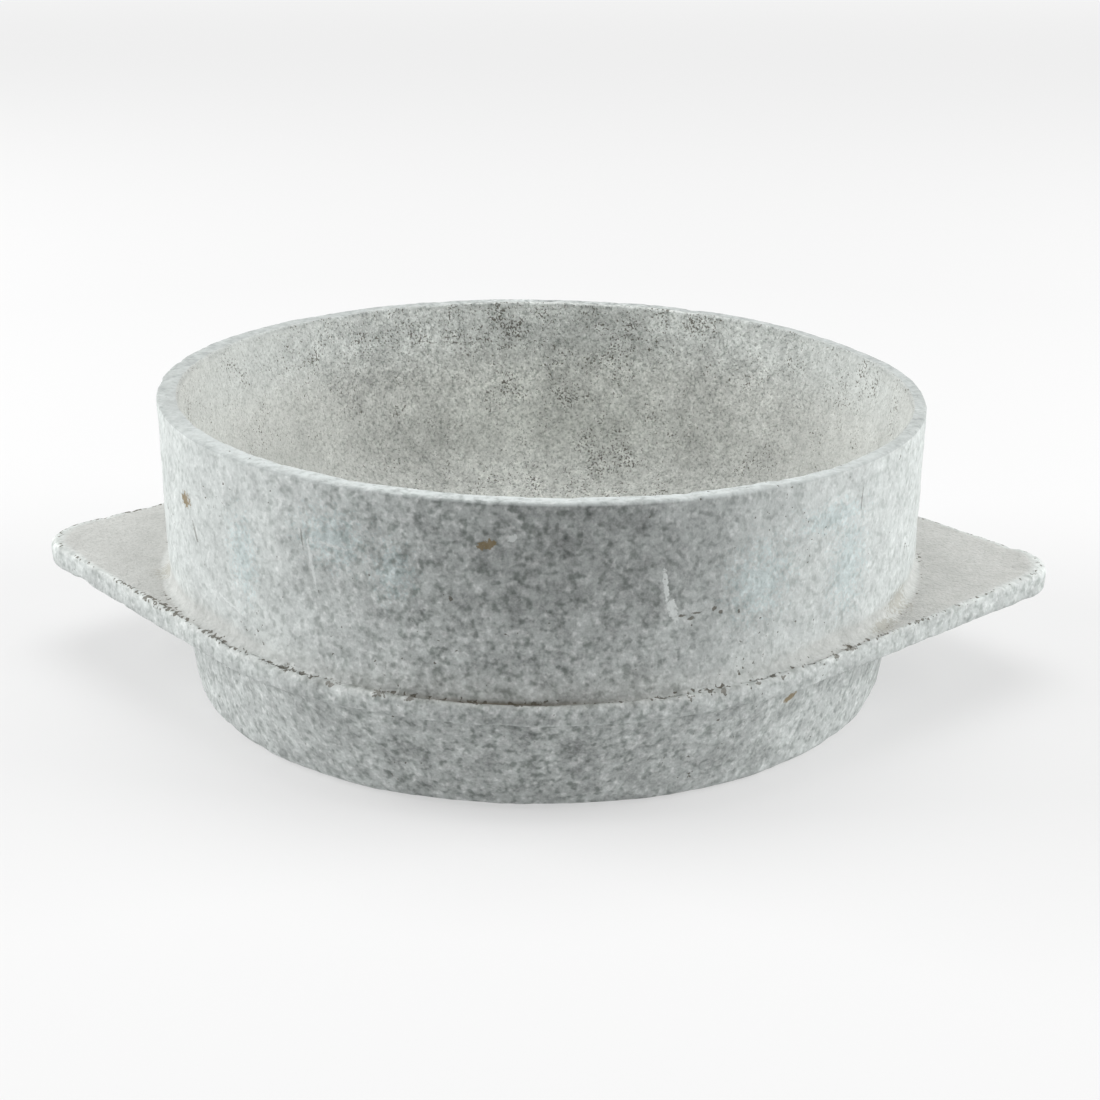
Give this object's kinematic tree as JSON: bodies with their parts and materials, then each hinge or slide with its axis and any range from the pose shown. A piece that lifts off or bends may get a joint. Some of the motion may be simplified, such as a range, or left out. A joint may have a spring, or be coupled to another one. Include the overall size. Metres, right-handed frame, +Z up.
{
  "type": "molcajete",
  "caption": "Round carved stone mortar bowl with a steep wall, a flat pointed lug on each side and a rounded flat base.",
  "frame": {"origin": "centre of the flat base, on the surface the bowl rests on", "axes": "+X along the two lugs, +Z up along the bowl's axis"},
  "size_m": [0.275, 0.2068, 0.0785],
  "materials": {
    "stone": "dry, fine-grained volcanic stone, rubbed smooth, with small open pits and stone dust in the hollows"
  },
  "bodies": {
    "root": {"bowl": "stone"}
  },
  "joints": []
}
